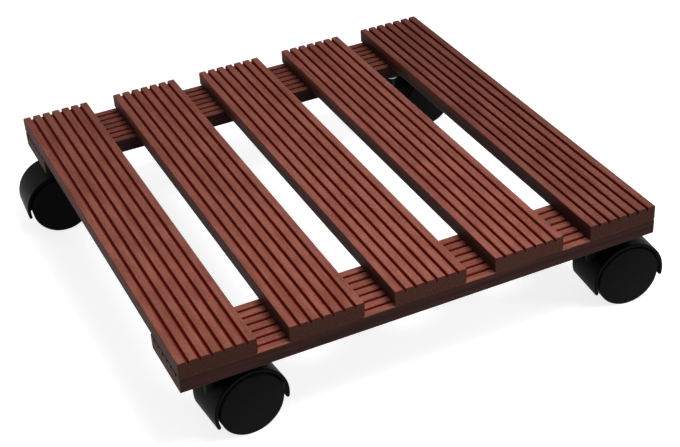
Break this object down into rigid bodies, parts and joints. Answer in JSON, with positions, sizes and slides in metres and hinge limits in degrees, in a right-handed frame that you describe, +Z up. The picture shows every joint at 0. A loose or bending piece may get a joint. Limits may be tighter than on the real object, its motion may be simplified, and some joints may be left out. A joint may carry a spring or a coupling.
{
  "type": "plant caddy",
  "caption": "Square slatted platform of ribbed boards on cross rails, carried by hooded twin-wheel swivel casters, for rolling a heavy potted plant.",
  "frame": {"origin": "on the floor, under the centre of the deck", "axes": "+Z up, +Y along the slats towards the back edge, +X across the slats towards the right"},
  "size_m": [0.3306, 0.3, 0.0725],
  "materials": {
    "wpc_board": "extruded wood-plastic composite, reddish brown, fine matt grain along the ribs",
    "zinc_steel": "bright zinc plated steel",
    "black_steel": "pressed steel plate, matt black coating",
    "hood_plastic": "moulded black plastic, fine matt texture",
    "wheel_plastic": "moulded black plastic, smooth matt face"
  },
  "bodies": {
    "deck": {"slat_1": "wpc_board", "slat_2": "wpc_board", "slat_3": "wpc_board", "slat_4": "wpc_board", "slat_5": "wpc_board", "front_rail": "wpc_board", "back_rail": "wpc_board", "slat_screws": "zinc_steel", "front_left_mounting_plate": "black_steel", "front_left_plate_screws": "zinc_steel", "front_left_king_pin": "zinc_steel", "front_left_grip_ring": "zinc_steel", "front_right_mounting_plate": "black_steel", "front_right_plate_screws": "zinc_steel", "front_right_king_pin": "zinc_steel", "front_right_grip_ring": "zinc_steel", "back_left_mounting_plate": "black_steel", "back_left_plate_screws": "zinc_steel", "back_left_king_pin": "zinc_steel", "back_left_grip_ring": "zinc_steel", "back_right_mounting_plate": "black_steel", "back_right_plate_screws": "zinc_steel", "back_right_king_pin": "zinc_steel", "back_right_grip_ring": "zinc_steel"},
    "front_left_caster": {"front_left_thrust_washer": "zinc_steel", "front_left_housing": "hood_plastic", "front_left_axle": "zinc_steel"},
    "front_left_wheel_a": {"front_left_wheel_a": "wheel_plastic"},
    "front_left_wheel_b": {"front_left_wheel_b": "wheel_plastic"},
    "front_right_caster": {"front_right_thrust_washer": "zinc_steel", "front_right_housing": "hood_plastic", "front_right_axle": "zinc_steel"},
    "front_right_wheel_a": {"front_right_wheel_a": "wheel_plastic"},
    "front_right_wheel_b": {"front_right_wheel_b": "wheel_plastic"},
    "back_left_caster": {"back_left_thrust_washer": "zinc_steel", "back_left_housing": "hood_plastic", "back_left_axle": "zinc_steel"},
    "back_left_wheel_a": {"back_left_wheel_a": "wheel_plastic"},
    "back_left_wheel_b": {"back_left_wheel_b": "wheel_plastic"},
    "back_right_caster": {"back_right_thrust_washer": "zinc_steel", "back_right_housing": "hood_plastic", "back_right_axle": "zinc_steel"},
    "back_right_wheel_a": {"back_right_wheel_a": "wheel_plastic"},
    "back_right_wheel_b": {"back_right_wheel_b": "wheel_plastic"}
  },
  "joints": [
    {"name": "front_left_swivel", "type": "hinge", "parent": "deck", "child": "front_left_caster", "pos_m": [-0.125, -0.1275, 0.049], "axis": [0, 0, 1], "continuous": true},
    {"name": "front_left_wheel_a_spin", "type": "hinge", "parent": "front_left_caster", "child": "front_left_wheel_a", "pos_m": [-0.10905, -0.12619, 0.02], "axis": [-0.0819, 0.9966, 0], "continuous": true},
    {"name": "front_left_wheel_b_spin", "type": "hinge", "parent": "front_left_caster", "child": "front_left_wheel_b", "pos_m": [-0.10905, -0.12619, 0.02], "axis": [-0.0819, 0.9966, 0], "continuous": true},
    {"name": "front_right_swivel", "type": "hinge", "parent": "deck", "child": "front_right_caster", "pos_m": [0.125, -0.1275, 0.049], "axis": [0, 0, 1], "continuous": true},
    {"name": "front_right_wheel_a_spin", "type": "hinge", "parent": "front_right_caster", "child": "front_right_wheel_a", "pos_m": [0.14093, -0.12895, 0.02], "axis": [0.0906, 0.9959, 0], "continuous": true},
    {"name": "front_right_wheel_b_spin", "type": "hinge", "parent": "front_right_caster", "child": "front_right_wheel_b", "pos_m": [0.14093, -0.12895, 0.02], "axis": [0.0906, 0.9959, 0], "continuous": true},
    {"name": "back_left_swivel", "type": "hinge", "parent": "deck", "child": "back_left_caster", "pos_m": [-0.125, 0.1275, 0.049], "axis": [0, 0, 1], "continuous": true},
    {"name": "back_left_wheel_a_spin", "type": "hinge", "parent": "back_left_caster", "child": "back_left_wheel_a", "pos_m": [-0.14097, 0.12842, 0.02], "axis": [-0.0576, -0.9983, 0], "continuous": true},
    {"name": "back_left_wheel_b_spin", "type": "hinge", "parent": "back_left_caster", "child": "back_left_wheel_b", "pos_m": [-0.14097, 0.12842, 0.02], "axis": [-0.0576, -0.9983, 0], "continuous": true},
    {"name": "back_right_swivel", "type": "hinge", "parent": "deck", "child": "back_right_caster", "pos_m": [0.125, 0.1275, 0.049], "axis": [0, 0, 1], "continuous": true},
    {"name": "back_right_wheel_a_spin", "type": "hinge", "parent": "back_right_caster", "child": "back_right_wheel_a", "pos_m": [0.14094, 0.12884, 0.02], "axis": [-0.0837, 0.9965, 0], "continuous": true},
    {"name": "back_right_wheel_b_spin", "type": "hinge", "parent": "back_right_caster", "child": "back_right_wheel_b", "pos_m": [0.14094, 0.12884, 0.02], "axis": [-0.0837, 0.9965, 0], "continuous": true}
  ]
}
